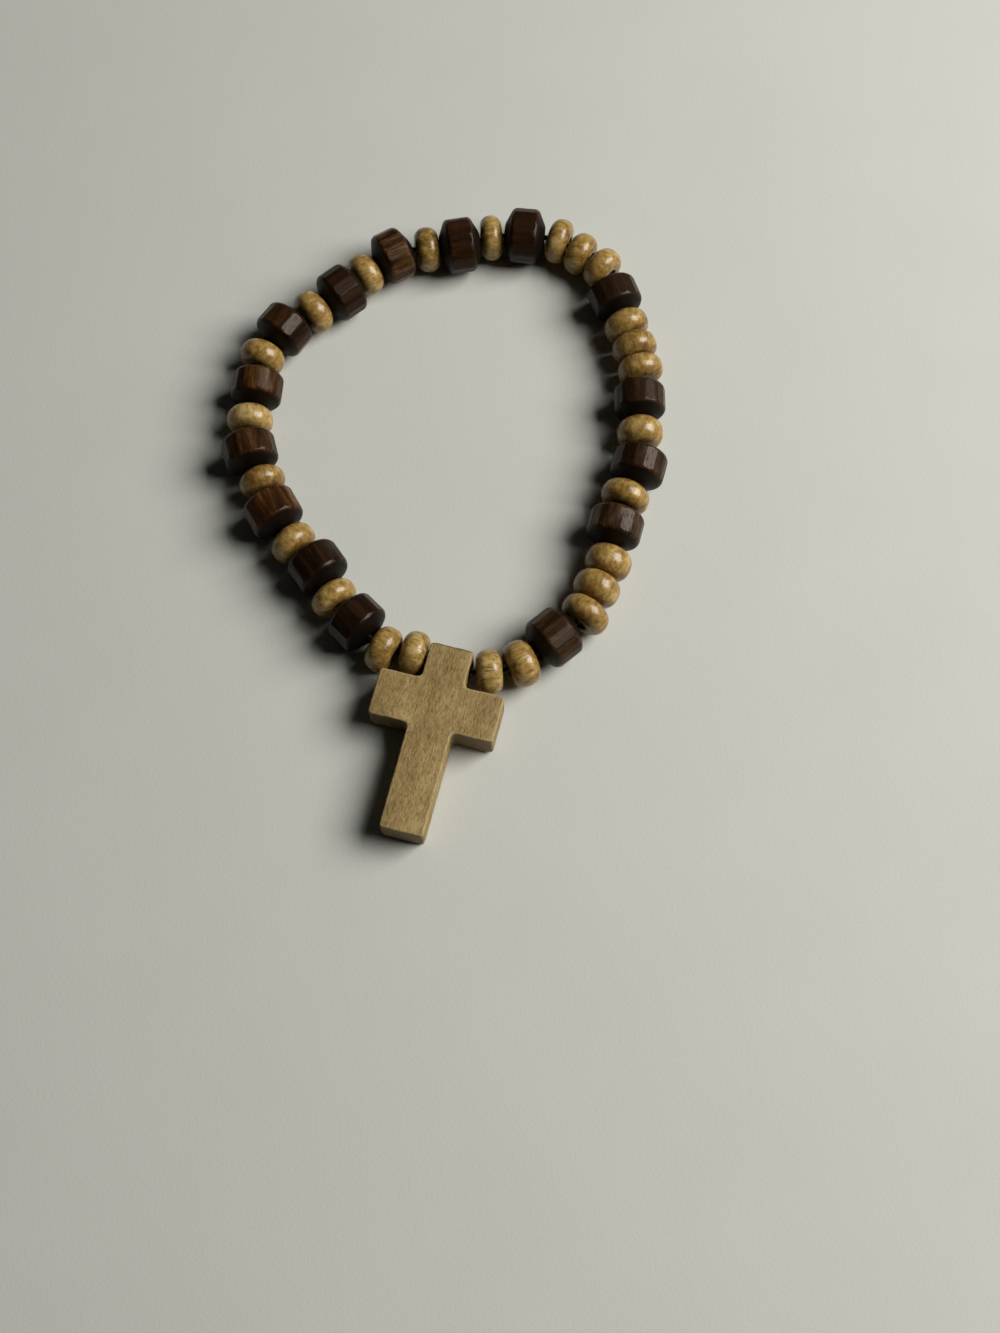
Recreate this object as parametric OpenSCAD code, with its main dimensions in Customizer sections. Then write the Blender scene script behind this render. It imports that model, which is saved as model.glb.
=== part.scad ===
// Stretch bracelet: turned wooden beads and a flat wooden cross on one loop of elastic, lying on a table.
// The table is z = 0. The origin is under the middle of the bracelet's outline as seen from above.
// The loop is longest along Y. The cross lies at its -Y end.

/* [Dark barrel beads] */
// Diameter of a plain dark bead
dark_d = 7; // [6.8:0.1:7.2]
// Length of a plain dark bead along the thread
dark_len = 5.4; // [5:0.1:6.2]
// Length of the straight band round its middle
dark_band = 3.4; // [2.4:0.1:3.8]
// Depth of the chamfer from the band down to the end face
dark_chamfer = 2.1; // [0.8:0.1:2.1]

/* [Light rondelle beads] */
// Diameter of a plain light bead
light_d = 6; // [5.8:0.1:6.1]
// Length of a plain light bead along the thread
light_len = 3.2; // [3:0.1:3.6]
// Length of the straight band round its middle
light_band = 0.4; // [0.4:0.1:1.2]
// Depth of the rounded shoulder from the band down to the end face
light_shoulder = 1.3; // [0.5:0.1:1.3]

/* [Cross] */
// Length from the top edge to the foot
cross_len = 24.1; // [20:0.1:30]
// Span of the two side arms
cross_span = 15.8; // [12:0.2:16.2]
// Width of the stem and of the upper arm
stem_w = 5.6; // [5.3:0.1:6.5]
// Width of the side arms
arm_w = 6.2; // [5:0.1:8]
// Distance from the top edge to the side arms
arm_drop = 4.7; // [4.7:0.1:7]
// Thickness of the cross
cross_t = 4.8; // [4:0.1:5.2]
// Radius of the corners of its outline
corner_r = 0.5; // [0.2:0.1:1]
// Distance from the top edge to the hole for the thread
hole_drop = 2; // [1.8:0.1:2]
// Lean of the stem from -Y towards -X, in degrees
cross_lean = 14; // [12:1:15]

/* [Elastic thread] */
// Diameter of the thread
thread_d = 0.7; // [0.5:0.1:0.8]
// Diameter of the hole through each bead and the cross
hole_d = 2; // [2:0.1:2.2]
// Least gap between neighbours on the thread
gap = 0.1; // [0.08:0.01:0.2]

/* [Hidden] */
$fn = 48;
thread_sides = 8;

// How far a drill runs past each face of the piece.
drill_past = 1;

// Builds of bead: how much wider and longer than a plain one of the same wood, in millimetres.
PLAIN = [0, 0];
SLIM = [-0.3, 0];
WIDE = [0.3, 0];
SHORT = [0, -0.3];
LONG = [0, 0.4];

// The stringing chart, from the cross's left side and clockwise as seen from above, a row for each bead.
// HEADING is where the thread points as it leaves the bead, in degrees anticlockwise from +X, to about 5.
// SLIP is how far the bead sits to the left of where the thread left the bead before it, to about 0.5 mm.
DARK = "dark_bead";
LIGHT = "light_bead";
WOOD = 0;
BUILD = 1;
HEADING = 2;
SLIP = 3;
chart = [
    [LIGHT, SLIM,   165, -0.5],
    [LIGHT, PLAIN,  150,    1],
    [DARK,  PLAIN,  135, -0.5],
    [LIGHT, SHORT,  125,    0],
    [DARK,  LONG,   125, -0.5],
    [LIGHT, PLAIN,  130,  0.5],
    [DARK,  LONG,   120,    0],
    [LIGHT, SHORT,  110, -0.5],
    [DARK,  PLAIN,  105,  0.5],
    [LIGHT, PLAIN,   90, -0.5],
    [DARK,  SLIM,    85, -0.5],
    [LIGHT, PLAIN,   70,  0.5],
    [DARK,  PLAIN,   55, -0.5],
    [LIGHT, PLAIN,   45,   -1],
    [DARK,  PLAIN,   40, -0.5],
    [LIGHT, SLIM,    40,  0.5],
    [DARK,  SHORT,   30,    0],
    [LIGHT, PLAIN,   10, -0.5],
    [DARK,  WIDE,    10, -0.5],
    [LIGHT, SHORT,    5,    1],
    [DARK,  WIDE,    -5,    0],
    [LIGHT, SHORT,  -20,  0.5],
    [LIGHT, SLIM,   -30, -0.5],
    [LIGHT, SLIM,   -45,    0],
    [DARK,  SLIM,   -70,   -1],
    [LIGHT, PLAIN,  -70,    0],
    [LIGHT, PLAIN,  -75,    0],
    [LIGHT, PLAIN,  -80,    0],
    [DARK,  SLIM,   -90, -0.5],
    [LIGHT, LONG,   -90,    0],
    [DARK,  PLAIN, -105,  0.5],
    [LIGHT, WIDE,  -110, -0.5],
    [DARK,  PLAIN, -105,    0],
    [LIGHT, LONG,  -110,  0.5],
    [LIGHT, LONG,  -115,    0],
    [LIGHT, WIDE,  -125,  0.5],
    [DARK,  LONG,  -140, -0.5],
    [LIGHT, LONG,  -155,  0.5],
    [LIGHT, SLIM,  -175,    0],
];
count = len(chart);

// The pieces on the thread are numbered round the loop: 0 is the cross, and 1 to count are the beads.
function row(piece) = chart[piece - 1];
function is_cross(piece) = piece % (count + 1) == 0;
function is_dark(piece) = row(piece)[WOOD] == DARK;
function radius(piece) = ((is_dark(piece) ? dark_d : light_d) + row(piece)[BUILD].x) / 2;
function half_band(piece) = (is_dark(piece) ? dark_band : light_band) / 2;
function end_radius(piece) = radius(piece) - (is_dark(piece) ? dark_chamfer : light_shoulder);
function bead_len(piece) = (is_dark(piece) ? dark_len : light_len) + row(piece)[BUILD].y;
function half_len(piece) = (is_cross(piece) ? stem_w : bead_len(piece)) / 2;
function slip(piece) = is_cross(piece) ? 0 : row(piece)[SLIP];

// Each bead rests on the table. The thread holds the cross's hole at the mean height of the beads beside it.
function axis_z(piece) = is_cross(piece) ? (radius(1) + radius(count)) / 2 : radius(piece);

// The thread turns once clockwise on its way round, so it comes back to the cross 360 degrees lower.
function heading(piece) =
    piece == 0 ? 180 - cross_lean : is_cross(piece) ? -180 - cross_lean : row(piece)[HEADING];
function dir(angle) = [cos(angle), sin(angle)];
function left_of(angle) = [-sin(angle), cos(angle)];

// Radius of the arc that leaves the light bead's band level and meets its end face.
function shoulder_r(piece) =
    let (run = half_len(piece) - half_band(piece), drop = radius(piece) - end_radius(piece))
    (run * run + drop * drop) / (2 * drop);

// How far a bead reaches from its middle, in a level direction at an angle of lean to its axis.
function reach(piece, lean) =
    let (along = abs(cos(lean)), across = abs(sin(lean)))
    let (rim = half_len(piece) * along + end_radius(piece) * across)
    is_dark(piece)
        ? max(rim, half_band(piece) * along + radius(piece) * across)
        : let (arc = shoulder_r(piece), run = half_len(piece) - half_band(piece))
          let (drop = radius(piece) - end_radius(piece))
          across * run < along * (arc - drop)
              ? rim
              : half_band(piece) * along + (radius(piece) - arc) * across + arc;

// Joint j lies between pieces j and j + 1. Neighbours touch across a plane square to the joint's direction,
// which halves the turn between two beads and is the side of the upper arm beside the cross.
function joint_heading(j) =
    j == 0 ? heading(0) : j == count ? heading(count + 1) : (heading(j) + heading(j + 1)) / 2;
function overhang(piece, lean) =
    is_cross(piece) ? 0 : reach(piece, lean) - half_len(piece) * cos(lean);
function joint_len(j) =
    gap
    + overhang(j, heading(j) - joint_heading(j))
    + overhang(j + 1, heading(j + 1) - joint_heading(j));
function link(j) =
    half_len(j) * dir(heading(j))
    + joint_len(j) * dir(joint_heading(j))
    + slip(j + 1) * left_of(joint_heading(j))
    + half_len(j + 1) * dir(heading(j + 1));
function total(list) = [for (item = list) 1] * list;

// The links walk round the loop. What they miss the start by is shared out evenly between them.
links = [for (j = [0:count]) link(j)];
miss = total(links) / len(links);
walk = [for (j = 0, at = [0, 0]; j <= count; at = at + links[j] - miss, j = j + 1) at];

// The cross hangs from the thread by its upper arm, and the lower edge of its foot rests on the table.
foot_len = cross_len - hole_drop;
cross_pitch = asin(axis_z(0) / norm([foot_len, cross_t / 2])) - atan2(cross_t / 2, foot_len);
corner_trim = corner_r * (cos(cross_lean) + sin(cross_lean) - 1);
foot_reach =
    (foot_len * cos(cross_pitch) + cross_t / 2 * sin(cross_pitch)) * cos(cross_lean)
    + stem_w / 2 * sin(cross_lean)
    - corner_trim;

// The middle of the outline seen from above, from the beads on three sides and the foot of the cross.
function beads_reach(angle) =
    max([for (p = [1:count]) walk[p] * dir(angle) + reach(p, heading(p) - angle)]);
middle = [beads_reach(0) - beads_reach(180), beads_reach(90) - foot_reach] / 2;
places = [for (at = walk) at - middle];

// Where the thread enters and leaves each piece: halfway between its axis and its neighbour's axis.
function joint_z(j) = (axis_z(j) + axis_z(j + 1)) / 2;
function before(piece) = piece == 0 ? count : piece - 1;
function thread_end(piece, way, joint) =
    let (slide = slip(joint + 1) / 2 * left_of(joint_heading(joint)))
    let (at = places[piece] + way * (half_len(piece) * dir(heading(piece)) + slide))
    [at.x, at.y, joint_z(joint)];
function thread_facing(piece, joint) =
    let (turn = joint_heading(joint) - heading(piece))
    heading(piece) + (turn > 180 ? turn - 360 : turn < -180 ? turn + 360 : turn) / 2;
function thread_ring(centre, facing) =
    let (sideways = [-sin(facing), cos(facing), 0], up = [0, 0, 1])
    [for (k = [0:thread_sides - 1])
        let (around = 360 * k / thread_sides)
        centre + thread_d / 2 * (cos(around) * sideways + sin(around) * up)];
thread_rings = [
    for (piece = [0:count])
        for (way = [-1, 1])
            let (joint = way < 0 ? before(piece) : piece)
            thread_ring(thread_end(piece, way, joint), thread_facing(piece, joint))
];

function node_name(piece) =
    is_cross(piece) ? "cross" : str(row(piece)[WOOD], piece < 10 ? "_0" : "_", piece);

module thread_hole(length) {
    cylinder(d = hole_d, h = length + 2 * drill_past, center = true);
}

// Half outline of a dark bead: a straight band between two chamfers. Its thread runs along Y.
module dark_outline(piece) {
    polygon([
        [0, -half_len(piece)],
        [end_radius(piece), -half_len(piece)],
        [radius(piece), -half_band(piece)],
        [radius(piece), half_band(piece)],
        [end_radius(piece), half_len(piece)],
        [0, half_len(piece)]
    ]);
}

// Half outline of a light bead: a narrow band between two rounded shoulders. Its thread runs along Y.
module light_outline(piece) {
    arc = shoulder_r(piece);
    intersection() {
        translate([0, -half_len(piece)]) square([radius(piece), 2 * half_len(piece)]);
        union() {
            translate([0, -half_band(piece)]) square([radius(piece), 2 * half_band(piece)]);
            translate([0, -half_len(piece)]) square([radius(piece) - arc, 2 * half_len(piece)]);
            for (end = [-1, 1])
                translate([radius(piece) - arc, end * half_band(piece)]) circle(r = arc);
        }
    }
}

// A turned bead, drilled along its axis and laid on the table at its place in the string.
module bead(piece) {
    at = places[piece];
    color(is_dark(piece) ? "#3b2417" : "#cdb788")
        translate([at.x, at.y, axis_z(piece)])
            rotate([0, 90, heading(piece)])
                difference() {
                    rotate_extrude()
                        if (is_dark(piece))
                            dark_outline(piece);
                        else
                            light_outline(piece);
                    thread_hole(2 * half_len(piece));
                }
}

// A flat bar with round corners, from its lower left corner.
module bar_outline(width, length) {
    translate([corner_r, 0]) square([width - 2 * corner_r, length]);
    translate([0, corner_r]) square([width, length - 2 * corner_r]);
    for (x = [corner_r, width - corner_r], y = [corner_r, length - corner_r])
        translate([x, y]) circle(r = corner_r);
}

// The flat cross, with its thread hole on the X axis and its stem along -Y before it is laid down.
module cross() {
    at = places[0];
    color("#b79f76")
        translate([at.x, at.y, axis_z(0)])
            rotate([0, 0, -cross_lean])
                rotate([cross_pitch, 0, 0])
                    difference() {
                        translate([0, 0, -cross_t / 2])
                            linear_extrude(cross_t) {
                                translate([-stem_w / 2, -foot_len]) bar_outline(stem_w, cross_len);
                                translate([-cross_span / 2, hole_drop - arm_drop - arm_w])
                                    bar_outline(cross_span, arm_w);
                            }
                        rotate([0, 90, 0]) thread_hole(stem_w);
                    }
}

// The elastic: one closed tube, straight through each piece, that turns only in the gaps between them.
module elastic_thread() {
    rings = len(thread_rings);
    color("#3a2a1f")
        polyhedron(
            points = [for (ring = thread_rings) each ring],
            faces = [
                for (r = [0:rings - 1], k = [0:thread_sides - 1])
                    let (next_r = (r + 1) % rings, next_k = (k + 1) % thread_sides)
                    [
                        r * thread_sides + k,
                        next_r * thread_sides + k,
                        next_r * thread_sides + next_k,
                        r * thread_sides + next_k
                    ]
            ],
            convexity = 10
        );
}

for (piece = [1:count])
    bead(piece);
cross();
elastic_thread();
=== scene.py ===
# %% [markdown]
# # A wooden bead bracelet with a flat cross
# The bracelet lies on a table: dark turned barrel beads, pale turned rondelle beads and one flat cross, all
# on a loop of elastic. The frame gives every piece its real place and size. This lesson turns, saws and
# finishes each piece anew at that place, so that the wood shows and the sizes stay.

# %% The frame and its size
import math
import random

import bmesh
import bpy
import numpy as np
from mathutils import Matrix, Vector


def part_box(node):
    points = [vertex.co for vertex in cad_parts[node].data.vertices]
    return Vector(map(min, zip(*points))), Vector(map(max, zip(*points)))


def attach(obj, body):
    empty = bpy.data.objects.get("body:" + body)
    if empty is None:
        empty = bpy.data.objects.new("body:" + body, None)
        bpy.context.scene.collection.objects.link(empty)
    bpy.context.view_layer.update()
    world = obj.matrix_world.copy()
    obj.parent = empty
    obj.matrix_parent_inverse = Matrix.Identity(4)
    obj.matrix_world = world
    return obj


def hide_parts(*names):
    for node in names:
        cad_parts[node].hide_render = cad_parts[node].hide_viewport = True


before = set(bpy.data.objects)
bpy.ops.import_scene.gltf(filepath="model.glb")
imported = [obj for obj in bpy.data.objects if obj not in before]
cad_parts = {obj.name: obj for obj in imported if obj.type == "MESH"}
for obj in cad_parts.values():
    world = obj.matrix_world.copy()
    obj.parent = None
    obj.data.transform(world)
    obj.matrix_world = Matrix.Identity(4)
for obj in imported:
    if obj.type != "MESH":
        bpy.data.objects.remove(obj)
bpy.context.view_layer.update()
MM = 0.001

# %% [markdown]
# ## The camera
# The photograph was taken from above and a little in front, about 70 degrees down from level. The camera
# is placed by what it looks at on the table, how far away it stands and how steeply it looks down. The lens
# follows from the size of the picture, so that the bracelet fills the same part of it.

# %% The camera
PICTURE_LONG_SIDE = 1333
LENS_PIXELS = 1689
SENSOR_WIDTH = 36
LOOKS_AT = Vector((7.38, -20.53, 0)) * MM
DISTANCE = 210.9 * MM
DOWN = math.radians(70.27)
TURN = math.radians(-0.57)
ROLL = math.radians(-0.18)

ahead = Vector((math.sin(TURN) * math.cos(DOWN), math.cos(TURN) * math.cos(DOWN), -math.sin(DOWN)))
level_right = Vector((math.cos(TURN), -math.sin(TURN), 0))
level_up = level_right.cross(ahead)
right = math.cos(ROLL) * level_right + math.sin(ROLL) * level_up
up = math.cos(ROLL) * level_up - math.sin(ROLL) * level_right

bpy.ops.object.select_all(action="DESELECT")
bpy.ops.object.camera_add(location=LOOKS_AT - ahead * DISTANCE)
camera = bpy.context.active_object
camera.rotation_euler = Matrix((right, up, -ahead)).transposed().to_euler()
camera.data.sensor_width = SENSOR_WIDTH
camera.data.lens = SENSOR_WIDTH * LENS_PIXELS / PICTURE_LONG_SIDE
camera.data.clip_start = 10 * MM
bpy.context.scene.camera = camera
print("lens", round(camera.data.lens, 1), "mm")

# %% [markdown]
# ## The light
# A window on the right lights the table from about 44 degrees up. It is a rectangle, so it draws a
# rectangle of light on each varnished band, and it is wide, so the shadow on the left of each bead is soft.
# A wide dim panel overhead stands for the ceiling, and a plain grey world for the walls. The front stays
# dim, which helps make the chamfers that face the viewer nearly black; they are also painted dark, partly as
# painted shade.

# %% The light
def panel_of_light(name, elevation, azimuth, distance, width, height, watts, colour):
    """An area light that faces the middle of the bracelet."""
    towards = Vector((
        math.cos(elevation) * math.cos(azimuth),
        math.cos(elevation) * math.sin(azimuth),
        math.sin(elevation),
    ))
    bpy.ops.object.light_add(type="AREA", location=towards * distance)
    light = bpy.context.active_object
    light.name = name
    light.rotation_euler = towards.to_track_quat("Z", "Y").to_euler()
    light.data.shape = "RECTANGLE"
    light.data.size = width
    light.data.size_y = height
    light.data.energy = watts
    light.data.color = colour
    return light


window = panel_of_light(
    "window",
    elevation=math.radians(44),
    azimuth=math.radians(9),
    distance=0.60,
    width=0.40,
    height=0.38,
    watts=4.7,
    colour=(1.0, 0.99, 0.965),
)
ceiling = panel_of_light(
    "ceiling",
    elevation=math.radians(75),
    azimuth=math.radians(70),
    distance=1.1,
    width=1.2,
    height=1.2,
    watts=0.05,
    colour=(1.0, 0.99, 0.97),
)
ROOM_COLOUR = (0.86, 0.87, 0.88, 1)
ROOM_STRENGTH = 0.008
world = bpy.data.worlds.new("plain grey room")
world.use_nodes = True
walls = world.node_tree.nodes["Background"]
walls.inputs["Color"].default_value = ROOM_COLOUR
walls.inputs["Strength"].default_value = ROOM_STRENGTH
bpy.context.scene.world = world
bpy.context.scene.view_settings.view_transform = "Standard"
print("window", window.data.energy, "W, ceiling", ceiling.data.energy, "W")

# %% [markdown]
# ## A way to write finishes
# A finish is a small graph of nodes. Written as sums it stays readable: a Wire wraps one socket, and adding
# or multiplying wires adds the Math nodes. Colours and vectors go through their own nodes, because a Math
# node keeps only one number.

# %% Wires and finishes
class Wire:
    """What one socket gives out: a number, a colour or a vector that changes over the surface."""

    def __init__(self, finish, socket):
        self.finish = finish
        self.socket = socket

    def math(self, operation, first, second):
        return self.finish.node("ShaderNodeMath", {"operation": operation}, {0: first, 1: second})

    def __add__(self, other):
        return self.math("ADD", self, other)

    def __sub__(self, other):
        return self.math("SUBTRACT", self, other)

    def __rsub__(self, other):
        return self.math("SUBTRACT", other, self)

    def __mul__(self, other):
        return self.math("MULTIPLY", self, other)

    def __abs__(self):
        return self.math("ABSOLUTE", self, 0)

    __radd__ = __add__
    __rmul__ = __mul__


class Finish:
    """A material, and the few ways in which this lesson adds nodes to it."""

    def __init__(self, name):
        self.material = bpy.data.materials.new(name)
        self.material.use_nodes = True
        self.nodes = self.material.node_tree.nodes
        self.links = self.material.node_tree.links
        self.shader = self.nodes["Principled BSDF"]

    def node(self, kind, settings=None, inputs=None, output=0):
        """Adds any node: first its settings, then the values or wires that feed its sockets."""
        made = self.nodes.new(kind)
        for key, value in (settings or {}).items():
            if key == "stops":
                self.set_stops(made.color_ramp, value)
            else:
                setattr(made, key, value)
        for key, value in (inputs or {}).items():
            self.feed(made.inputs[key], value)
        return Wire(self, made.outputs[output])

    def feed(self, socket, value):
        if isinstance(value, Wire):
            self.links.new(value.socket, socket)
        else:
            socket.default_value = value

    def set_stops(self, ramp, stops):
        while len(ramp.elements) < len(stops):
            ramp.elements.new(1.0)
        for element, (place, colour) in zip(ramp.elements, stops):
            element.position = place
            element.color = (*colour, 1)

    def attribute(self, name):
        return self.node("ShaderNodeAttribute", {"attribute_name": name}, output="Vector")

    def parts(self, vector):
        """The three numbers of a vector, each as a wire of its own."""
        made = self.node("ShaderNodeSeparateXYZ", None, {0: vector})
        return [Wire(self, made.socket.node.outputs[k]) for k in range(3)]

    def stretched(self, vector, scale):
        return self.node("ShaderNodeVectorMath", {"operation": "MULTIPLY"}, {0: vector, 1: scale})

    def noise(self, vector, scale=(1, 1, 1), detail=2.0, roughness=0.5, warp=0.0):
        """Cloudy noise, with this many clouds to a unit along each axis: few along the grain."""
        inputs = {
            "Vector": self.stretched(vector, scale),
            "Scale": 1.0,
            "Detail": detail,
            "Roughness": roughness,
            "Distortion": warp,
        }
        return self.node("ShaderNodeTexNoise", None, inputs)

    def between(self, value, low, high):
        """0 below low, 1 above high, and smooth between them."""
        settings = {"interpolation_type": "SMOOTHSTEP"}
        inputs = {"Value": value, "From Min": low, "From Max": high}
        return self.node("ShaderNodeMapRange", settings, inputs)

    def ramp(self, value, stops):
        return self.node("ShaderNodeValToRGB", {"stops": stops}, {0: value})

    def mix(self, share, first, second):
        first = first if isinstance(first, Wire) else (*first, 1)
        second = second if isinstance(second, Wire) else (*second, 1)
        settings = {"data_type": "RGBA"}
        return self.node("ShaderNodeMix", settings, {0: share, 6: first, 7: second}, output=2)

    def bump(self, height, distance, strength=1.0):
        inputs = {"Height": height, "Distance": distance, "Strength": strength}
        self.feed(self.shader.inputs["Normal"], self.node("ShaderNodeBump", None, inputs))

    def set(self, **sockets):
        for name, value in sockets.items():
            self.feed(self.shader.inputs[name.replace("_", " ")], value)


print("finishes are written as sums of wires")

# %% [markdown]
# ## The table
# The bracelet lies on a pale grey sheet of paper. It is plain, with only a faint mottle and the paper's
# fine tooth, and it reaches far past the picture.

# %% The table
TABLE_SIZE = 3

bpy.ops.object.select_all(action="DESELECT")
bpy.ops.mesh.primitive_plane_add(size=TABLE_SIZE, location=(0, 0, 0))
table = bpy.context.active_object
table.name = "table"

paper = Finish("pale paper")
place = paper.node("ShaderNodeTexCoord", output="Object")
cloudy = paper.noise(place, (60, 60, 60), 3)
tooth = paper.noise(place, (2500, 2500, 2500), 2)
paper.set(
    Base_Color=paper.mix(cloudy, (0.595, 0.60, 0.55), (0.635, 0.64, 0.59)),
    Roughness=0.9,
    Specular_IOR_Level=0.2,
)
paper.bump(tooth, 0.00004, 0.5)
table.data.materials.append(paper.material)
print("table", [round(x, 2) for x in table.dimensions])

# %% [markdown]
# ## Where each bead lies
# Every bead in the frame is a turned solid that lies on its band, so its axis is level. Its band and its
# bore run along the thread, so of all the level directions that its faces look in, the thread's is the one
# that most of its surface runs along. Its middle, radius and length follow from its box and that direction.
# The directions are then made to point the same way round the loop.

# %% Reading the beads
# Up to here the cosine of an angle counts as level, and as square.
LEVEL = 0.001
SQUARE = 0.01


def bead_place(name):
    """Middle, direction along the thread, radius and half length of a bead, all from its solid."""
    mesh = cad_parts[name].data
    level_faces = [face for face in mesh.polygons if abs(face.normal.z) < LEVEL]
    directions = {tuple(round(x, 3) for x in face.normal) for face in level_faces}

    def surface_along(direction):
        way = Vector(direction)
        return sum(face.area for face in mesh.polygons if abs(face.normal.dot(way)) < SQUARE)

    along = Vector(max(sorted(directions), key=surface_along)).normalized()
    low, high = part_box(name)
    middle = (low + high) / 2
    half = max((vertex.co - middle).dot(along) for vertex in mesh.vertices)
    return {"middle": middle, "along": along, "radius": (high.z - low.z) / 2, "half": half}


bead_names = sorted((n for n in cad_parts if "bead" in n), key=lambda n: int(n[-2:]))
beads = {name: bead_place(name) for name in bead_names}
for name, after in zip(bead_names, bead_names[1:] + ["cross"]):
    low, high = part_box(after)
    next_middle = (low + high) / 2
    if beads[name]["along"].dot(next_middle - beads[name]["middle"]) < 0:
        beads[name]["along"] = -beads[name]["along"]
radii = [bead["radius"] / MM for bead in beads.values()]
print(len(beads), "beads, radius from", round(min(radii), 2), "to", round(max(radii), 2), "mm")

# %% [markdown]
# ## Turning a bead
# A real bead is cut on a lathe: a tool follows an outline while the rod turns. The spin operator does the
# same. The outline is drawn as a chain of edges beside the axis, point by point, and spun once round. Its
# doubles are then merged, and the sharp rims are worn round with a bevel. An outline is given as its half
# on one side of the bead's middle, from the surface to the bore, and mirrored to make the other half.

# %% The lathe
BORE = 1.0
TURNS = 72
MERGE = 0.001 * MM
# How far a point may lie off a rim, and how long an edge along the axis at least is, in millimetres.
ON_RIM = 0.02
LENGTHWISE = 0.3


def pick(obj, kind, test):
    """Selects the vertices, edges or faces whose place passes the test, and nothing else."""
    bpy.ops.mesh.select_mode(type=kind)
    bpy.ops.mesh.select_all(action="DESELECT")
    shape = bmesh.from_edit_mesh(obj.data)
    group = {"VERT": shape.verts, "EDGE": shape.edges, "FACE": shape.faces}[kind]
    for item in group:
        if test(item):
            item.select_set(True)
    shape.select_flush_mode()
    bmesh.update_edit_mesh(obj.data)
    return sum(1 for item in group if item.select)


def out_and_along(vertex):
    """How far a point lies from the lathe's axis, and how far along it, in millimetres."""
    return math.hypot(vertex.co.x, vertex.co.y) / MM, vertex.co.z / MM


def turn_on_lathe(name, half):
    """Spins an outline of (out, along) points in millimetres, and its mirror image, round the Z axis."""
    outline = half + [(out, -along) for out, along in reversed(half[1:-1])] + [half[0]]
    bpy.ops.object.select_all(action="DESELECT")
    bpy.ops.mesh.primitive_plane_add(size=MM)
    blank = bpy.context.active_object
    blank.name = name
    bpy.ops.object.mode_set(mode="EDIT")
    bpy.ops.mesh.select_mode(type="VERT")
    bpy.ops.mesh.merge(type="CENTER")
    start_out, start_along = outline[0]
    bpy.ops.transform.translate(value=(start_out * MM, 0, start_along * MM))
    for (out, along), (next_out, next_along) in zip(outline, outline[1:]):
        step = ((next_out - out) * MM, 0, (next_along - along) * MM)
        bpy.ops.mesh.extrude_region_move(TRANSFORM_OT_translate={"value": step})
    bpy.ops.mesh.select_all(action="SELECT")
    bpy.ops.mesh.remove_doubles(threshold=MERGE)
    bpy.ops.mesh.select_all(action="SELECT")
    bpy.ops.mesh.spin(steps=TURNS, angle=2 * math.pi, center=(0, 0, 0), axis=(0, 0, 1))
    bpy.ops.mesh.select_all(action="SELECT")
    bpy.ops.mesh.remove_doubles(threshold=MERGE)
    bpy.ops.mesh.select_all(action="SELECT")
    bpy.ops.mesh.normals_make_consistent(inside=False)
    bpy.ops.object.mode_set(mode="OBJECT")
    return blank


def round_rim(obj, out, along, width, steps):
    """Wears the rims at this distance from the axis, and this far along on both sides, round."""
    def on_rim(edge):
        for vertex in edge.verts:
            here_out, here_along = out_and_along(vertex)
            if abs(here_out - out) > ON_RIM or abs(abs(here_along) - along) > ON_RIM:
                return False
        return True

    bpy.ops.object.mode_set(mode="EDIT")
    pick(obj, "EDGE", on_rim)
    bpy.ops.mesh.bevel(offset=width * MM, segments=steps, affect="EDGES")
    bpy.ops.object.mode_set(mode="OBJECT")


def cut_rings(obj, cuts, least_out):
    """Cuts rings across the edges that run along the axis and lie further out than this."""
    def runs_along(edge):
        first, second = (out_and_along(vertex) for vertex in edge.verts)
        return abs(first[1] - second[1]) > LENGTHWISE and (first[0] + second[0]) / 2 > least_out

    bpy.ops.object.mode_set(mode="EDIT")
    pick(obj, "EDGE", runs_along)
    bpy.ops.mesh.subdivide(number_cuts=cuts)
    bpy.ops.object.mode_set(mode="OBJECT")


print("the lathe takes", TURNS, "steps to a turn")

# %% [markdown]
# ## The dark barrel bead
# A straight band between two steep chamfers, with a small flat end face round the bore. The edges of the
# band are rounded over half a millimetre, and the rims of the end face and of the bore much less. The rings
# give the later wear some points to move.

# %% The dark bead
DARK = {"radius": 3.5, "half": 2.7, "band": 1.7, "end": 1.4}
DARK_RIMS = [
    {"out": DARK["radius"], "along": DARK["band"], "width": 0.50, "steps": 5},
    {"out": DARK["end"], "along": DARK["half"], "width": 0.15, "steps": 3},
    {"out": BORE, "along": DARK["half"], "width": 0.10, "steps": 2},
]
DARK_RINGS = 3
RINGS_START = 2.3
dark_half = [
    (DARK["radius"], 0.0),
    (DARK["radius"], DARK["band"]),
    (DARK["end"], DARK["half"]),
    (BORE, DARK["half"]),
    (BORE, 0.0),
]
dark_master = turn_on_lathe("dark bead on the lathe", dark_half)
for rim in DARK_RIMS:
    round_rim(dark_master, **rim)
cut_rings(dark_master, DARK_RINGS, RINGS_START)
print("dark bead:", len(dark_master.data.polygons), "faces")

# %% [markdown]
# ## The flats
# The dark beads aren't quite round. Under the window their bands show narrow flats that run along the
# thread, as if the rod had been planed before its ends were turned. So a rod with fourteen uneven sides is
# made, and the bead keeps only what it shares with the rod. The outline of the flats is marked sharp, so
# that each flat mirrors the window as one panel.

# %% Planing the flats
SIDES = 14
ROD_LENGTH = 2.4 * DARK["half"]
LEAST_FLAT = 2 * MM * MM
SAME_WAY = 0.999
# How far each long edge of the planed rod lies from the axis, in millimetres.
ROD_EDGES = [3.53, 3.50, 3.56, 3.49, 3.52, 3.58, 3.50, 3.54, 3.48, 3.53, 3.57, 3.50, 3.52, 3.55]


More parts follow.
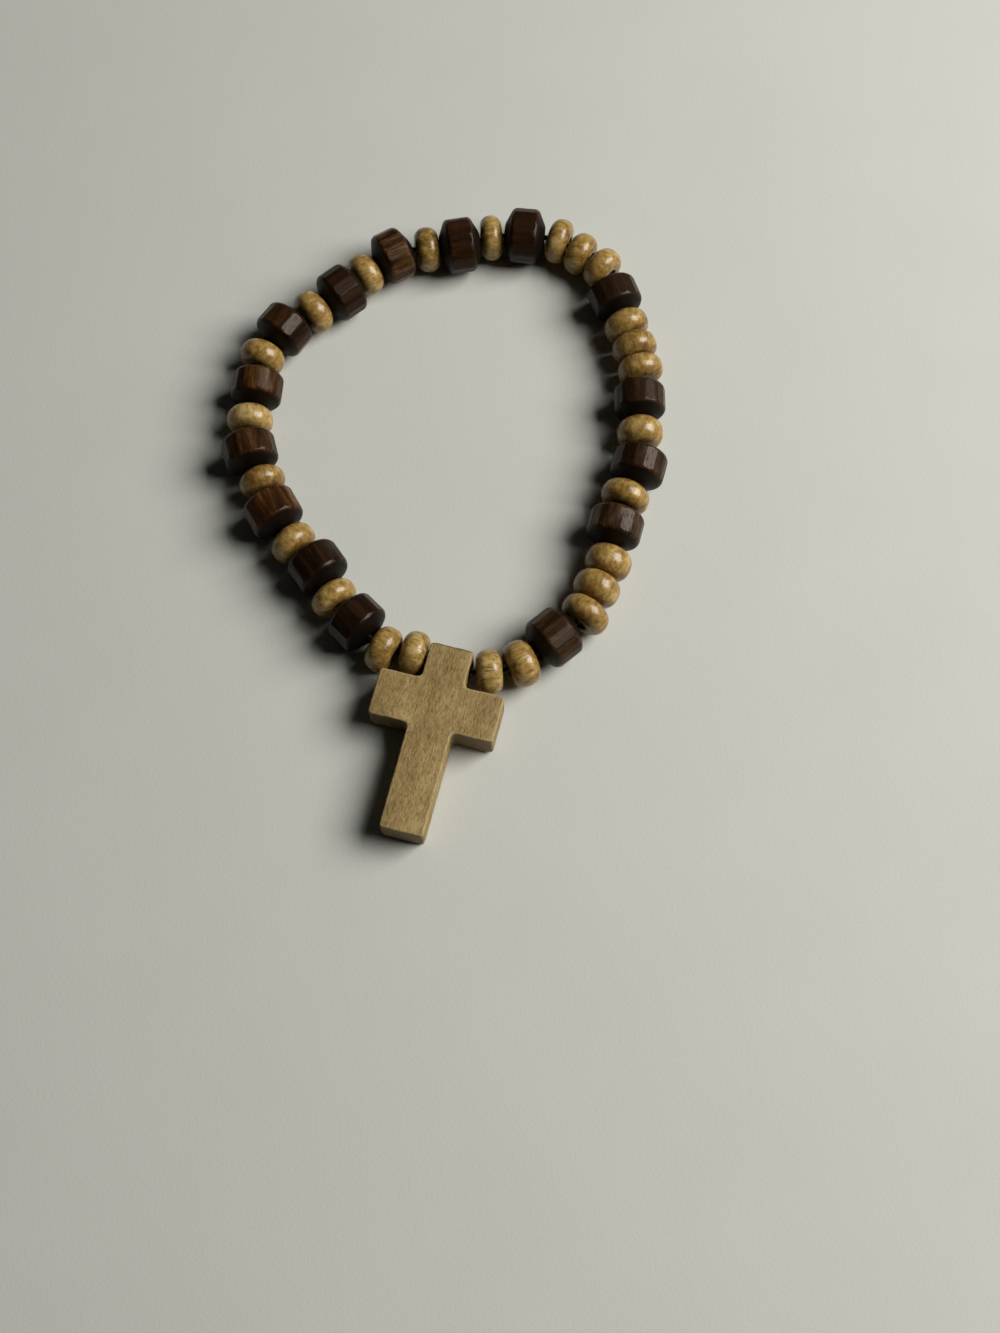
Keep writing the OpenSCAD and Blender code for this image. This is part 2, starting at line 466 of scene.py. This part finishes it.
def change_by(obj, tool, operation):
    """Cuts the object by the tool's shape, or keeps only what both share, and removes the tool."""
    bpy.ops.object.select_all(action="DESELECT")
    obj.select_set(True)
    bpy.context.view_layer.objects.active = obj
    cut = obj.modifiers.new("cut", "BOOLEAN")
    cut.object = tool
    cut.operation = operation
    bpy.ops.object.modifier_apply(modifier=cut.name)
    bpy.data.objects.remove(tool)


bpy.ops.object.select_all(action="DESELECT")
bpy.ops.mesh.primitive_cylinder_add(vertices=SIDES, radius=DARK["radius"] * MM, depth=ROD_LENGTH * MM)
rod = bpy.context.active_object
bpy.ops.object.mode_set(mode="EDIT")
for number, out in enumerate(ROD_EDGES):
    at = 2 * math.pi * number / SIDES
    outwards = Vector((math.sin(at), math.cos(at), 0))
    pick(rod, "VERT", lambda vertex: vertex.co.xy.normalized().dot(outwards.xy) > SAME_WAY)
    bpy.ops.transform.translate(value=outwards * (out - DARK["radius"]) * MM)
bpy.ops.object.mode_set(mode="OBJECT")
change_by(dark_master, rod, "INTERSECT")
bpy.ops.object.mode_set(mode="EDIT")
flats = pick(
    dark_master, "FACE", lambda face: abs(face.normal.z) < LEVEL and face.calc_area() > LEAST_FLAT
)
bpy.ops.mesh.select_mode(type="EDGE")
bpy.ops.mesh.region_to_loop()
bpy.ops.mesh.mark_sharp()
bpy.ops.object.mode_set(mode="OBJECT")
print("dark bead with", flats, "flats:", len(dark_master.data.polygons), "faces")

# %% [markdown]
# ## The light rondelle bead
# A thinner bead, with only a narrow flat between two rounded shoulders. The shoulder is an arc that leaves
# the flat level and meets the end face at a rim. That rim and the bore's are then rounded a little.

# %% The light bead
LIGHT = {"radius": 3.0, "half": 1.6, "band": 0.2, "end": 1.7}
LIGHT_RIMS = [
    {"out": LIGHT["end"], "along": LIGHT["half"], "width": 0.15, "steps": 3},
    {"out": BORE, "along": LIGHT["half"], "width": 0.12, "steps": 2},
]
SHOULDER_STEPS = 5
run = LIGHT["half"] - LIGHT["band"]
drop = LIGHT["radius"] - LIGHT["end"]
arc = (run * run + drop * drop) / (2 * drop)
sweep = math.asin(run / arc)
shoulder = [
    (LIGHT["radius"] - arc + arc * math.cos(sweep * k / SHOULDER_STEPS),
     LIGHT["band"] + arc * math.sin(sweep * k / SHOULDER_STEPS))
    for k in range(SHOULDER_STEPS + 1)
]
light_half = [(LIGHT["radius"], 0.0)] + shoulder + [(BORE, LIGHT["half"]), (BORE, 0.0)]
light_master = turn_on_lathe("light bead on the lathe", light_half)
for rim in LIGHT_RIMS:
    round_rim(light_master, **rim)
print("light bead:", len(light_master.data.polygons), "faces")

# %% [markdown]
# ## The wood of each bead
# No two beads are alike, so each has a row of its own, under its number in the string.
# For the dark beads, red is how reddish the wood is, pale how light it is and streak how strongly its grain
# shows. Their flat is how far the deepest flat leans from straight up towards the window, in degrees.
# For the light beads, warm goes from greenish to orange tan, deep from pale to brown, and lined is how many
# brown grain lines show.

# %% The wood of each bead
DARK_WOODS = {
    3: {"red": 0.60, "pale": 0.05, "streak": 0.35, "flat": 60},
    5: {"red": 0.70, "pale": 0.12, "streak": 0.45, "flat": 38},
    7: {"red": 0.95, "pale": 0.92, "streak": 0.90, "flat": 10},
    9: {"red": 0.75, "pale": 0.60, "streak": 0.75, "flat": -5},
    11: {"red": 0.90, "pale": 0.62, "streak": 0.85, "flat": 22},
    13: {"red": 0.75, "pale": 0.55, "streak": 0.55, "flat": 29},
    15: {"red": 0.65, "pale": 0.34, "streak": 0.15, "flat": 20},
    17: {"red": 0.70, "pale": 1.15, "streak": 1.00, "flat": 5},
    19: {"red": 0.85, "pale": 0.42, "streak": 0.40, "flat": 0},
    21: {"red": 0.70, "pale": 0.38, "streak": 0.18, "flat": 12},
    25: {"red": 0.45, "pale": 0.46, "streak": 0.10, "flat": 32},
    29: {"red": 0.40, "pale": 0.56, "streak": 0.15, "flat": -3},
    31: {"red": 0.55, "pale": 0.48, "streak": 0.65, "flat": 23},
    33: {"red": 0.40, "pale": 0.72, "streak": 1.00, "flat": 26},
    37: {"red": 0.40, "pale": 0.60, "streak": 0.60, "flat": 26},
}
LIGHT_WOODS = {
    1: {"warm": 0.4, "deep": 0.25, "lined": 0.90},
    2: {"warm": 0.5, "deep": 0.40, "lined": 0.95},
    4: {"warm": 0.4, "deep": 0.30, "lined": 0.30},
    6: {"warm": 0.5, "deep": 0.40, "lined": 0.55},
    8: {"warm": 0.5, "deep": 0.72, "lined": 0.40},
    10: {"warm": 0.4, "deep": 0.00, "lined": 0.45},
    12: {"warm": 0.7, "deep": 0.35, "lined": 0.30},
    14: {"warm": 0.7, "deep": 0.40, "lined": 0.45},
    16: {"warm": 0.6, "deep": 0.35, "lined": 0.35},
    18: {"warm": 0.1, "deep": 0.78, "lined": 0.10},
    20: {"warm": 0.3, "deep": 0.40, "lined": 0.60},
    22: {"warm": 0.4, "deep": 0.40, "lined": 0.40},
    23: {"warm": 0.4, "deep": 0.45, "lined": 0.55},
    24: {"warm": 0.8, "deep": 0.35, "lined": 0.40},
    26: {"warm": 0.3, "deep": 0.50, "lined": 0.30},
    27: {"warm": 0.4, "deep": 0.60, "lined": 0.65},
    28: {"warm": 0.5, "deep": 0.50, "lined": 0.60},
    30: {"warm": 0.5, "deep": 0.35, "lined": 0.25},
    32: {"warm": 0.4, "deep": 0.40, "lined": 0.45},
    34: {"warm": 0.7, "deep": 0.40, "lined": 0.90},
    35: {"warm": 0.4, "deep": 0.35, "lined": 0.30},
    36: {"warm": 0.5, "deep": 0.48, "lined": 0.50},
    38: {"warm": 0.5, "deep": 0.40, "lined": 0.80},
    39: {"warm": 0.3, "deep": 0.18, "lined": 1.00},
}
print(len(DARK_WOODS), "dark and", len(LIGHT_WOODS), "light beads have their own wood")

# %% [markdown]
# ## Stringing the beads
# Each bead of the string is a copy of the turned one with its own mesh, scaled to the size of its solid and
# laid in its place. A light bead is turned by chance about its axis, and a dark one so that its deepest flat
# looks where its row says. Before it is moved, every point keeps three notes as attributes: where it lies in
# the bead, where that is in the tree, so that no two beads share their grain, and the bead's character.

# %% Stringing the beads
chance = random.Random(11)
TREE = 40


def note(mesh, name, values):
    """Stores one vector for each point of the mesh."""
    attribute = mesh.attributes.new(name, "FLOAT_VECTOR", "POINT")
    attribute.data.foreach_set("vector", np.asarray(values, np.float32).ravel())


def string_bead(name, master, plain, character, turned_by):
    """A copy of the turned bead in the place and at the size of one solid of the frame."""
    place = beads[name]
    bpy.ops.object.select_all(action="DESELECT")
    bead = master.copy()
    bead.data = master.data.copy()
    bead.name = "turned_" + name
    bpy.context.scene.collection.objects.link(bead)
    mesh = bead.data
    points = np.array([vertex.co for vertex in mesh.vertices])
    offset = [chance.uniform(-TREE, TREE) for _ in range(3)]
    note(mesh, "bead_mm", points / MM)
    note(mesh, "wood_mm", points / MM + offset)
    note(mesh, "character", np.tile(character, (len(points), 1)))
    across = place["radius"] / (plain["radius"] * MM)
    lengthwise = place["half"] / (plain["half"] * MM)
    side = Vector((0, 0, 1)).cross(place["along"])
    lay = Matrix((side, Vector((0, 0, 1)), place["along"])).transposed().to_4x4()
    turn = Matrix.Rotation(turned_by, 4, "Z")
    size = Matrix.Diagonal((across, across, lengthwise, 1))
    mesh.transform(Matrix.Translation(place["middle"]) @ lay @ turn @ size)
    return bead


def turn_for_flat(along, degrees):
    """The turn about the thread that leans the deepest flat this far from straight up towards +X."""
    lean = math.radians(degrees)
    return math.pi / 2 + (lean if along.y > 0 else -lean)


turned = []
for name in bead_names:
    number = int(name[-2:])
    if name.startswith("dark"):
        wood = DARK_WOODS[number]
        character = (wood["red"], wood["pale"], wood["streak"])
        bead = string_bead(
            name, dark_master, DARK, character, turn_for_flat(beads[name]["along"], wood["flat"])
        )
    else:
        wood = LIGHT_WOODS[number]
        character = (wood["warm"], wood["deep"], wood["lined"])
        bead = string_bead(name, light_master, LIGHT, character, chance.uniform(0, 2 * math.pi))
    turned.append(bead)
for master in (dark_master, light_master):
    bpy.data.objects.remove(master)
print(len(turned), "beads strung")

# %% [markdown]
# ## Slightly uneven wood
# No hand-fed lathe cuts quite true. A Displace modifier with a cloudy texture sinks the surface by up to a
# twentieth of a millimetre, never outwards, and is then applied. It reads the place on the table, so each
# bead is uneven in its own way. The end faces are spared, because there the neighbours nearly touch.

# %% Wear
BEAD_WEAR = {"depth": 0.05, "clouds": 1.6}
SPARED_END = 0.1
SMOOTH_UP_TO = math.radians(25)
clouds = bpy.data.textures.new("hand-turned unevenness", "CLOUDS")
clouds.noise_scale = BEAD_WEAR["clouds"] * MM


def wear(obj, depth, texture, where=None):
    """Sinks the surface here and there by up to depth millimetres, only at the chosen points if any."""
    bpy.ops.object.select_all(action="DESELECT")
    obj.select_set(True)
    bpy.context.view_layer.objects.active = obj
    sink = obj.modifiers.new("wear", "DISPLACE")
    if where is not None:
        group = obj.vertex_groups.new(name="worn")
        group.add(where, 1.0, "REPLACE")
        sink.vertex_group = group.name
    sink.texture = texture
    sink.strength = depth * MM
    sink.mid_level = 1.0
    bpy.ops.object.modifier_apply(modifier=sink.name)


for bead in turned:
    place = beads[bead.name.replace("turned_", "")]
    sides = [
        vertex.index for vertex in bead.data.vertices
        if abs((vertex.co - place["middle"]).dot(place["along"])) < place["half"] - SPARED_END * MM
    ]
    wear(bead, BEAD_WEAR["depth"], clouds, sides)
    bpy.ops.object.shade_smooth_by_angle(angle=SMOOTH_UP_TO)
    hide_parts(bead.name.replace("turned_", ""))
    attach(bead, "root")
print("worn:", len(turned), "beads")

# %% [markdown]
# ## The cross
# The cross is a flat piece of pale wood that hangs from the elastic by its upper arm, with its foot on the
# table. Its up is read from its solid, as the way its broad face looks; side runs along the arms at a given
# lean, and along runs up the stem. It is made upright at the origin and laid there at the end.

# %% The size and the lie of the cross
CROSS = {
    "length": 24.1,
    "span": 15.8,
    "stem": 5.6,
    "arm": 6.2,
    "arm_drop": 4.7,
    "thick": 4.8,
    "hole_drop": 2.0,
}
LEAN = math.radians(-14)
FACES_THERE = 0.9
low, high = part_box("cross")
cross_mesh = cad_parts["cross"].data
face_area = {}
for face in cross_mesh.polygons:
    if face.normal.z > FACES_THERE:
        key = tuple(round(x, 4) for x in face.normal)
        face_area[key] = face_area.get(key, 0) + face.area
cross_up = Vector(max(face_area, key=face_area.get)).normalized()
cross_side = Vector((math.cos(LEAN), math.sin(LEAN), 0))
cross_along = cross_up.cross(cross_side).normalized()
tops = [vertex.co.dot(cross_along) for vertex in cross_mesh.vertices]
sides = [vertex.co.dot(cross_side) for vertex in cross_mesh.vertices]
levels = [vertex.co.dot(cross_up) for vertex in cross_mesh.vertices]
cross_middle = (
    cross_side * (max(sides) + min(sides)) / 2
    + cross_along * max(tops)
    + cross_up * (max(levels) + min(levels)) / 2
)
measured = [max(values) - min(values) for values in (sides, tops, levels)]
print("cross measures", [round(x / MM, 2) for x in measured], "mm")
print("and it reaches", round((high - low).z / MM, 2), "mm above the table")

# %% [markdown]
# ## Sawing the cross
# It starts as a bar for the stem. The bar is cut across at the height of the arms, and the arms are drawn
# out sideways. The upright corners are rounded, and then the rims of both broad faces are eased a little.

# %% Sawing the cross
CORNER = {"width": 0.5, "steps": 4}
EASED_RIM = {"width": 0.22, "steps": 2}
SHARP = math.radians(60)
SAME_HEIGHT = 0.1
FULL_THICKNESS = 0.9 * CROSS["thick"] * MM

bpy.ops.object.select_all(action="DESELECT")
bpy.ops.mesh.primitive_cube_add(size=1)
cross = bpy.context.active_object
cross.name = "sawn_cross"
bpy.ops.object.mode_set(mode="EDIT")
bpy.ops.transform.resize(value=(CROSS["stem"] * MM, CROSS["length"] * MM, CROSS["thick"] * MM))
bpy.ops.transform.translate(value=(0, -CROSS["length"] / 2 * MM, 0))
for depth in (CROSS["arm_drop"], CROSS["arm_drop"] + CROSS["arm"]):
    bpy.ops.mesh.select_all(action="SELECT")
    bpy.ops.mesh.bisect(plane_co=(0, -depth * MM, 0), plane_no=(0, 1, 0))
reach = (CROSS["span"] - CROSS["stem"]) / 2
arm_middle = -(CROSS["arm_drop"] + CROSS["arm"] / 2)
for way in (-1, 1):
    def is_arm_root(face):
        middle = face.calc_center_median() / MM
        return face.normal.x * way > FACES_THERE and abs(middle.y - arm_middle) < SAME_HEIGHT
    pick(cross, "FACE", is_arm_root)
    bpy.ops.mesh.extrude_region_move(TRANSFORM_OT_translate={"value": (way * reach * MM, 0, 0)})
bpy.ops.mesh.select_all(action="SELECT")
bpy.ops.mesh.normals_make_consistent(inside=False)


def is_upright_corner(edge):
    first, second = (vertex.co for vertex in edge.verts)
    upright = abs(first.z - second.z) > FULL_THICKNESS
    return upright and edge.is_manifold and edge.calc_face_angle(0) > SHARP


pick(cross, "EDGE", is_upright_corner)
bpy.ops.mesh.bevel(offset=CORNER["width"] * MM, segments=CORNER["steps"], affect="EDGES")


def is_long_rim(edge):
    flat = abs(edge.verts[0].co.z - edge.verts[1].co.z) < MERGE
    return flat and edge.is_manifold and edge.calc_face_angle(0) > SHARP


pick(cross, "EDGE", is_long_rim)
bpy.ops.mesh.bevel(offset=EASED_RIM["width"] * MM, segments=EASED_RIM["steps"], affect="EDGES")
bpy.ops.object.mode_set(mode="OBJECT")
print("cross sawn:", len(cross.data.polygons), "faces")

# %% [markdown]
# ## Boring the cross
# The elastic goes straight across the upper arm, so a round hole is bored there. Two small pores show as
# dark dents, one near the foot and one on the left arm.

# %% Boring the cross
DRILL_SIDES = 48
DRILL_LENGTH = 1.5 * CROSS["stem"]
PORE_DEPTH = 0.25
# Where each pore lies, to the side and down from the top edge, and its size, in millimetres.
PORES = [
    {"side": 0.55, "down": 17.6, "long": 0.55, "wide": 0.3},
    {"side": -4.6, "down": 6.1, "long": 0.4, "wide": 0.3},
]
bpy.ops.object.select_all(action="DESELECT")
bpy.ops.mesh.primitive_cylinder_add(
    vertices=DRILL_SIDES,
    radius=BORE * MM,
    depth=DRILL_LENGTH * MM,
    location=(0, -CROSS["hole_drop"] * MM, 0),
    rotation=(0, math.pi / 2, 0),
)
change_by(cross, bpy.context.active_object, "DIFFERENCE")
for pore in PORES:
    bpy.ops.object.select_all(action="DESELECT")
    bpy.ops.mesh.primitive_ico_sphere_add(
        subdivisions=3,
        radius=MM,
        location=(pore["side"] * MM, -pore["down"] * MM, CROSS["thick"] / 2 * MM),
        scale=(pore["wide"] / 2, pore["long"] / 2, PORE_DEPTH),
    )
    bpy.ops.object.transform_apply(location=False, rotation=True, scale=True)
    change_by(cross, bpy.context.active_object, "DIFFERENCE")
print("cross bored:", len(cross.data.polygons), "faces")

# %% [markdown]
# ## Wearing the cross
# A fine voxel remesh gives the cross an even skin, and a little smoothing takes the steps out of it. Each
# point then notes where it lies in the wood, how near a rim it is and which way it faces. The sawn wood is
# worn like the beads: broad unevenness first, and finer roughness after it.

# %% Wearing the cross
VOXEL = 0.17
EASE_STEPS = 3
RIM_ZONE = 0.45
BROAD_WEAR = {"depth": 0.14, "clouds": 2.5}
FINE_WEAR = {"depth": 0.07, "clouds": 0.5}

bpy.ops.object.select_all(action="DESELECT")
cross.select_set(True)
bpy.context.view_layer.objects.active = cross
skin = cross.modifiers.new("skin", "REMESH")
skin.mode = "VOXEL"
skin.voxel_size = VOXEL * MM
bpy.ops.object.modifier_apply(modifier=skin.name)
ease = cross.modifiers.new("ease", "SMOOTH")
ease.iterations = EASE_STEPS
bpy.ops.object.modifier_apply(modifier=ease.name)
points = np.array([vertex.co for vertex in cross.data.vertices]) / MM
note(cross.data, "wood_mm", points)
aside, down, level = points.T
in_stem = np.minimum(CROSS["stem"] / 2 - abs(aside), np.minimum(-down, CROSS["length"] + down))
in_arms = np.minimum(CROSS["span"] / 2 - abs(aside), CROSS["arm"] / 2 - abs(down - arm_middle))
from_side = np.maximum(in_stem, in_arms)
from_face = CROSS["thick"] / 2 - abs(level)
rubbed = np.clip(1 - np.maximum(from_side, from_face) / RIM_ZONE, 0, 1)
note(cross.data, "rubbed", np.stack([rubbed, rubbed, rubbed], axis=1))
note(cross.data, "facing", np.array([vertex.normal for vertex in cross.data.vertices]))
broad = bpy.data.textures.new("sawn unevenness", "CLOUDS")
broad.noise_scale = BROAD_WEAR["clouds"] * MM
fine = bpy.data.textures.new("sanded fibres", "CLOUDS")
fine.noise_scale = FINE_WEAR["clouds"] * MM
wear(cross, BROAD_WEAR["depth"], broad)
wear(cross, FINE_WEAR["depth"], fine)
stand = Matrix((cross_side, cross_along, cross_up)).transposed().to_4x4()
cross.data.transform(Matrix.Translation(cross_middle) @ stand)
bpy.ops.object.shade_smooth()
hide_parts("cross")
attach(cross, "root")
print("cross worn:", len(cross.data.polygons), "faces")

# %% [markdown]
# ## The elastic
# The frame's elastic has eight flat sides. The real one is round, so it is drawn again as one closed curve
# through the middle of every bore and of every gap, given its thickness, and made a mesh. It is drawn a
# touch thinner than in the frame.

# %% The elastic
THREAD = 0.7
THREAD_SHARE = 0.98
THREAD_ROUNDNESS = 3
hole_middle = cross_middle - cross_along * CROSS["hole_drop"] * MM
ends = [hole_middle + cross_side * way * CROSS["stem"] / 2 * MM for way in (1, -1)]
for name in bead_names:
    place = beads[name]
    ends.append(place["middle"] - place["along"] * place["half"])
    ends.append(place["middle"] + place["along"] * place["half"])
line = bpy.data.curves.new("elastic_loop", "CURVE")
line.dimensions = "3D"
spline = line.splines.new("POLY")
path = []
for k in range(0, len(ends), 2):
    path.append((ends[k - 1] + ends[k]) / 2)
    path.append((ends[k] + ends[k + 1]) / 2)
spline.points.add(len(path) - 1)
for point, where in zip(spline.points, path):
    point.co = (*where, 1)
spline.use_cyclic_u = True
line.bevel_depth = THREAD / 2 * MM * THREAD_SHARE
line.bevel_resolution = THREAD_ROUNDNESS
elastic = bpy.data.objects.new("elastic_loop", line)
bpy.context.scene.collection.objects.link(elastic)
bpy.ops.object.select_all(action="DESELECT")
elastic.select_set(True)
bpy.context.view_layer.objects.active = elastic
bpy.ops.object.convert(target="MESH")
elastic = bpy.context.active_object
bpy.ops.object.shade_smooth()
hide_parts("elastic_thread")
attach(elastic, "root")
length = sum((path[k] - path[k - 1]).length for k in range(len(path)))
print("elastic", round(length / MM), "mm round")

# %% [markdown]
# ## The dark wood
# Near-black brown wood with reddish streaks that run along the thread, under a satin varnish. Noises that
# are stretched along the bead make the broad streaks, the fibres and the hairs, and one that is cut off
# sharply makes the open pores that break up the reflection of the window. The chamfers are painted nearly
# black: partly because they cut across the fibres and soak up more stain, partly as painted shade, since the
# chamfers that face away from the window lie in shade. The varnish is brown, and so is what it mirrors.

# %% Dark wood
dark = Finish("dark turned wood")
wood = dark.attribute("wood_mm")
red, pale, streak = dark.parts(dark.attribute("character"))
along = dark.parts(dark.attribute("bead_mm"))[2]
# Toward the ends the dark wood is painted darker: partly end grain that soaks up more stain, partly painted
# shade, as the chamfers turned from the window lie in shade.
toward_ends = dark.between(abs(along), DARK["band"] - 0.10, DARK["band"] + 0.35)
broad = dark.noise(wood, (0.50, 0.50, 0.08), 2, 0.5)
bands = dark.noise(wood, (1.5, 1.5, 0.16), 2, 0.55, 0.3)
fibres = dark.noise(wood, (4.8, 4.8, 0.60), 3, 0.65)
hairs = dark.noise(wood, (9.0, 9.0, 0.8), 2, 0.6)
pores = dark.between(dark.noise(wood, (6.5, 6.5, 1.1), 1, 0.5), 0.58, 0.66)
tone = broad * 0.40 + bands * 0.32 + fibres * 0.28
shown = (tone - 0.5) * (0.5 + streak * 2.5) + 0.25 + pale * 0.40 - toward_ends * 0.32
reddish = dark.ramp(shown, [
    (0.05, (0.0040, 0.0014, 0.0006)),
    (0.30, (0.0120, 0.0044, 0.0014)),
    (0.55, (0.0380, 0.0135, 0.0034)),
    (0.78, (0.0950, 0.0380, 0.0095)),
    (1.00, (0.2100, 0.1000, 0.0320)),
])
greyer = dark.ramp(shown, [
    (0.05, (0.0048, 0.0028, 0.0015)),
    (0.30, (0.0135, 0.0080, 0.0040)),
    (0.55, (0.0350, 0.0210, 0.0105)),
    (0.78, (0.0820, 0.0520, 0.0280)),
    (1.00, (0.1650, 0.1150, 0.0700)),
])
colour = dark.mix(red, greyer, reddish)
colour = dark.mix(pores * 0.65, colour, (0.003, 0.0015, 0.0008))
# Painted shade and end grain: the chamfers are mixed toward near-black.
colour = dark.mix(toward_ends * 0.80, colour, (0.0040, 0.0022, 0.0012))
dark.set(
    Base_Color=colour,
    Roughness=hairs * 0.18 + pores * 0.25 + toward_ends * 0.22 + 0.18,
    Specular_IOR_Level=0.18,
    Specular_Tint=(1.0, 0.85, 0.74, 1.0),
)
dark.bump(fibres * 0.5 + hairs * 0.35 - pores * 0.5, 0.00002, 0.35)

# %% [markdown]
# ## The light wood
# Yellow-tan wood, thinly varnished. Soft clouds and blotches make its tone uneven, the end faces are a
# little darker, and short brown lines run along the grain, more on some beads than on others. Mottles and
# specks are the small brown marks between them.

# %% Light wood
light = Finish("light turned wood")
wood = light.attribute("wood_mm")
warm, deep, lined = light.parts(light.attribute("character"))
along = light.parts(light.attribute("bead_mm"))[2]
toward_ends = light.between(abs(along), LIGHT["band"] + 0.1, LIGHT["half"])
cloudy = light.noise(wood, (0.7, 0.7, 0.45), 3, 0.55)
fibres = light.noise(wood, (4.6, 4.6, 1.3), 3, 0.6)
mottles = light.between(light.noise(wood, (2.6, 2.6, 1.8), 3, 0.6), 0.56, 0.70)
specks = light.between(light.noise(wood, (7.0, 7.0, 3.5), 1, 0.5), 0.66, 0.72)
lines = light.between(light.noise(wood, (3.4, 3.4, 0.16), 2, 0.6, 0.25), 0.57, 0.63)
blotches = light.noise(wood, (1.7, 1.7, 1.0), 3, 0.6)
uneven = cloudy * 0.38 + blotches * 0.46 + fibres * 0.16
tone = (uneven - 0.5) * 2.0 + 0.69 - deep * 0.34 - toward_ends * 0.12
base = light.ramp(tone, [
    (0.25, (0.115, 0.060, 0.012)),
    (0.45, (0.265, 0.158, 0.038)),
    (0.62, (0.405, 0.268, 0.078)),
    (0.80, (0.560, 0.410, 0.165)),
])
base = light.mix(warm * 0.30, base, (0.400, 0.205, 0.060))
base = light.mix(mottles * 0.50, base, (0.160, 0.082, 0.018))
base = light.mix(lines * lined * 0.75, base, (0.110, 0.048, 0.012))
base = light.mix(specks * 0.6, base, (0.090, 0.040, 0.012))
light.set(
    Base_Color=base,
    Roughness=fibres * 0.18 + lines * 0.1 + 0.14,
    Specular_IOR_Level=0.5,
)
light.bump(fibres * 0.6 - lines * lined * 0.6 - specks * 0.4, 0.00002, 0.6)

# %% [markdown]
# ## The wood of the cross
# Bare pale wood. Its grain runs down the stem in fine flecks: short dashes of darker fibre, closely set.
# The faces sawn across the grain, at the top, the foot and below the arms, are darker and striped: partly
# the end grain, partly painted shade for the faces that turn away from the window. The very top is darkest.
# The
# rims are bright: partly rubbed wear, partly a painted highlight where the rims catch the window.

# %% Cross wood
bare = Finish("bare cross wood")
wood = bare.attribute("wood_mm")
down = bare.parts(wood)[1]
rubbed = bare.parts(bare.attribute("rubbed"))[0]
facing = bare.parts(bare.attribute("facing"))[1]
cloudy = bare.noise(wood, (0.40, 0.16, 0.40), 3, 0.55)
flecks = bare.noise(wood, (4.6, 0.95, 4.6), 3, 0.65)
grit = bare.noise(wood, (9.0, 4.0, 9.0), 2, 0.6)
dashes = bare.between(bare.noise(wood, (5.5, 1.2, 5.5), 2, 0.5), 0.58, 0.66)
top_end = bare.between(down, -0.55, -0.10)
# Faces across the stem are painted darker: partly end grain, partly painted shade on the faces that turn
# from the window.
sawn_end_and_shade = bare.between(abs(facing), 0.55, 0.90)
stripes = bare.noise(wood, (2.6, 2.6, 0.7), 3, 0.6)
rough = bare.noise(wood, (6, 6, 6), 3, 0.65)
colour = bare.ramp(cloudy * 0.40 + flecks * 0.38 + grit * 0.22, [
    (0.36, (0.148, 0.088, 0.026)),
    (0.50, (0.300, 0.203, 0.072)),
    (0.63, (0.470, 0.340, 0.143)),
])
colour = bare.mix(dashes * 0.62, colour, (0.150, 0.088, 0.030))
colour = bare.mix(sawn_end_and_shade * (0.45 + stripes * 0.50), colour, (0.120, 0.078, 0.030))
# Bright rims: partly rubbed wear, partly a painted highlight where the rims catch the window.
worn = rubbed * bare.between(rough, 0.36, 0.56)
colour = bare.mix(worn * 0.60, colour, (0.560, 0.420, 0.200))
colour = bare.mix(top_end * bare.between(rough, 0.35, 0.55), colour, (0.090, 0.052, 0.022))
bare.set(
    Base_Color=colour,
    Roughness=flecks * 0.2 + 0.50 - worn * 0.15,
    Specular_IOR_Level=0.35,
)
bare.bump(flecks * 0.6 - dashes * 0.6 + grit * 0.3 + rough * 0.3, 0.00004, 0.8)

# %% [markdown]
# ## The elastic's finish
# The elastic hardly shows, only in the dark gaps between beads. It is dark brown and matte, with the faint
# ribs of its fibres.

# %% Elastic finish
rubber = Finish("dark elastic")
place = rubber.node("ShaderNodeTexCoord", output="Object")
ribs = rubber.noise(place, (4000, 4000, 4000), 2)
rubber.set(
    Base_Color=rubber.mix(ribs, (0.012, 0.006, 0.004), (0.03, 0.015, 0.009)),
    Roughness=ribs * 0.2 + 0.55,
)
rubber.bump(ribs, 0.00002, 0.5)

# %% [markdown]
# ## Dressing the pieces
# Every piece loses what it was made with and gets the finish of its own wood, or of the elastic.

# %% Dressing the pieces
for piece in turned:
    piece.data.materials.clear()
    finish = dark if "dark" in piece.name else light
    piece.data.materials.append(finish.material)
for piece, finish in ((cross, bare), (elastic, rubber)):
    piece.data.materials.clear()
    piece.data.materials.append(finish.material)
faces = sum(len(piece.data.polygons) for piece in turned + [cross, elastic])
print("finished pieces:", len(turned) + 2, "with", faces, "faces")
